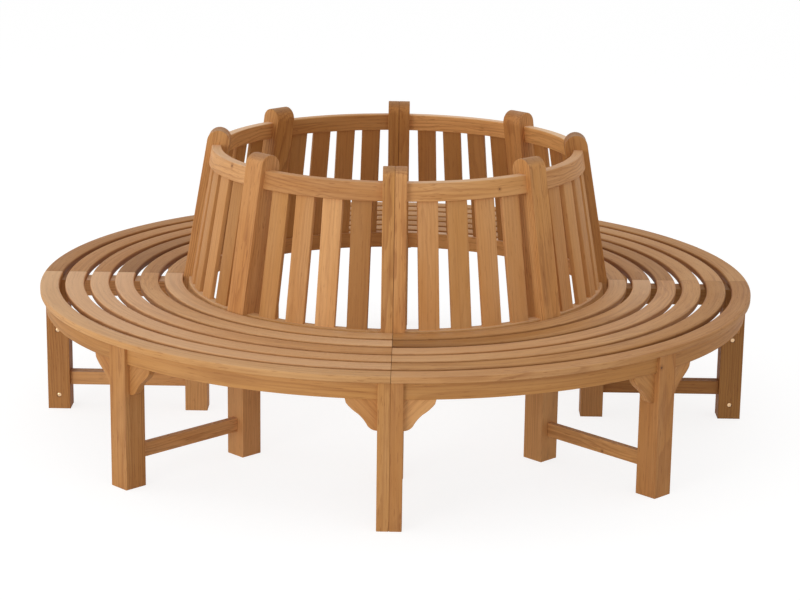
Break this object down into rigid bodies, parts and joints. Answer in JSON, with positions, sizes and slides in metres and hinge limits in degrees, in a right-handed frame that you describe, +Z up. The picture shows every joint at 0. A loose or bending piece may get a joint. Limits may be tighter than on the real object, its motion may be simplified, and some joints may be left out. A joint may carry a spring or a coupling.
{
  "type": "tree bench",
  "caption": "Round slatted wooden bench with a leaning slatted back, built in bolted sections that close into a ring round a tree trunk.",
  "frame": {"origin": "on the floor, on the axis of the round tree opening", "axes": "+Z up along the axis of the tree opening, -Y towards the seam at the front of the picture, +X to the right in the picture"},
  "size_m": [2.2, 2.2, 0.9],
  "materials": {
    "teak": "oiled satin, straight grain",
    "steel": "stainless, brushed"
  },
  "bodies": {
    "root": {"front_left_seat_slat_1": "teak", "front_left_seat_slat_2": "teak", "front_left_seat_slat_3": "teak", "front_left_seat_slat_4": "teak", "front_left_seat_slat_5": "teak", "front_left_seat_slat_6": "teak", "front_left_outer_legs": "teak", "front_left_back_posts": "teak", "front_left_seat_bearers": "teak", "front_left_stretchers": "teak", "front_left_aprons": "teak", "front_left_back_rails": "teak", "front_left_back_slats": "teak", "front_left_brackets": "teak", "front_right_seat_slat_1": "teak", "front_right_seat_slat_2": "teak", "front_right_seat_slat_3": "teak", "front_right_seat_slat_4": "teak", "front_right_seat_slat_5": "teak", "front_right_seat_slat_6": "teak", "front_right_outer_legs": "teak", "front_right_back_posts": "teak", "front_right_seat_bearers": "teak", "front_right_stretchers": "teak", "front_right_aprons": "teak", "front_right_back_rails": "teak", "front_right_back_slats": "teak", "front_right_brackets": "teak", "back_right_seat_slat_1": "teak", "back_right_seat_slat_2": "teak", "back_right_seat_slat_3": "teak", "back_right_seat_slat_4": "teak", "back_right_seat_slat_5": "teak", "back_right_seat_slat_6": "teak", "back_right_outer_legs": "teak", "back_right_back_posts": "teak", "back_right_seat_bearers": "teak", "back_right_stretchers": "teak", "back_right_aprons": "teak", "back_right_back_rails": "teak", "back_right_back_slats": "teak", "back_right_brackets": "teak", "back_left_seat_slat_1": "teak", "back_left_seat_slat_2": "teak", "back_left_seat_slat_3": "teak", "back_left_seat_slat_4": "teak", "back_left_seat_slat_5": "teak", "back_left_seat_slat_6": "teak", "back_left_outer_legs": "teak", "back_left_back_posts": "teak", "back_left_seat_bearers": "teak", "back_left_stretchers": "teak", "back_left_aprons": "teak", "back_left_back_rails": "teak", "back_left_back_slats": "teak", "back_left_brackets": "teak", "section_bolts": "steel", "sleeve_nuts": "steel", "slat_screws": "steel"}
  },
  "joints": []
}
